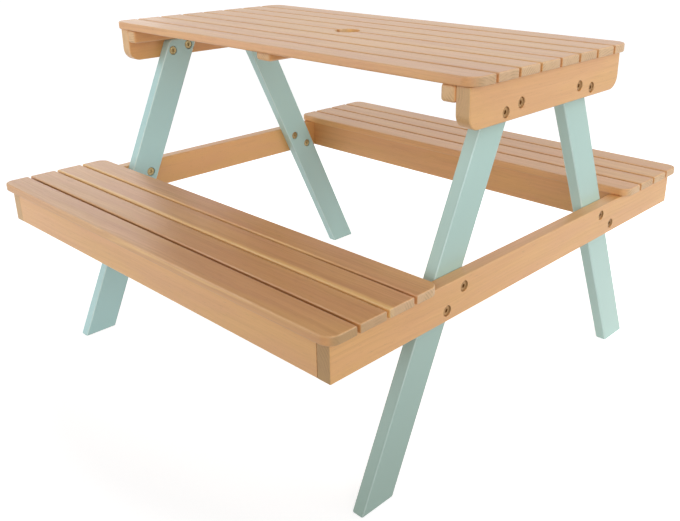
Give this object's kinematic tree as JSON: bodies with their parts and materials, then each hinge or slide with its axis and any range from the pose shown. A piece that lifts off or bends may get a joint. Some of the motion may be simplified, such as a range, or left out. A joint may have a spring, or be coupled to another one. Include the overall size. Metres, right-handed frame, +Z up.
{
  "type": "kids picnic table",
  "caption": "Child's wooden picnic table: slatted top with a parasol hole and two fixed slatted benches on painted leaning legs, bolted together.",
  "frame": {"origin": "on the floor, under the middle of the tabletop", "axes": "+X along the slats, +Y from the front bench to the back bench, +Z up"},
  "size_m": [0.778, 0.8416, 0.54],
  "materials": {
    "slat_wood": "light tan softwood slats, thin clear satin finish",
    "board_wood": "warm tan softwood boards, thin clear satin finish",
    "leg_paint": "wood under mint green satin paint",
    "bolt_metal": "dull yellow plated steel"
  },
  "bodies": {
    "root": {"top_slat_1": "slat_wood", "top_slat_2": "slat_wood", "top_slat_3": "slat_wood", "top_slat_4": "slat_wood", "top_slat_5": "slat_wood", "top_slat_6": "slat_wood", "top_slat_7": "slat_wood", "top_slat_8": "slat_wood", "front_seat_slat_1": "slat_wood", "front_seat_slat_2": "slat_wood", "front_seat_slat_3": "slat_wood", "front_seat_slat_4": "slat_wood", "back_seat_slat_1": "slat_wood", "back_seat_slat_2": "slat_wood", "back_seat_slat_3": "slat_wood", "back_seat_slat_4": "slat_wood", "top_apron_right": "board_wood", "top_apron_left": "board_wood", "top_batten_right": "board_wood", "top_batten_left": "board_wood", "top_batten_middle_front": "board_wood", "top_batten_middle_back": "board_wood", "seat_rail_right": "board_wood", "seat_rail_left": "board_wood", "front_seat_apron_inner": "board_wood", "front_seat_apron_outer": "board_wood", "front_seat_batten_right": "board_wood", "front_seat_batten_left": "board_wood", "front_seat_batten_middle": "board_wood", "back_seat_apron_inner": "board_wood", "back_seat_apron_outer": "board_wood", "back_seat_batten_right": "board_wood", "back_seat_batten_left": "board_wood", "back_seat_batten_middle": "board_wood", "leg_right_front": "leg_paint", "leg_right_back": "leg_paint", "leg_left_front": "leg_paint", "leg_left_back": "leg_paint", "bolt_right_front_1": "bolt_metal", "bolt_right_front_2": "bolt_metal", "bolt_right_front_3": "bolt_metal", "bolt_right_front_4": "bolt_metal", "bolt_right_back_1": "bolt_metal", "bolt_right_back_2": "bolt_metal", "bolt_right_back_3": "bolt_metal", "bolt_right_back_4": "bolt_metal", "bolt_left_front_1": "bolt_metal", "bolt_left_front_2": "bolt_metal", "bolt_left_front_3": "bolt_metal", "bolt_left_front_4": "bolt_metal", "bolt_left_back_1": "bolt_metal", "bolt_left_back_2": "bolt_metal", "bolt_left_back_3": "bolt_metal", "bolt_left_back_4": "bolt_metal"}
  },
  "joints": []
}
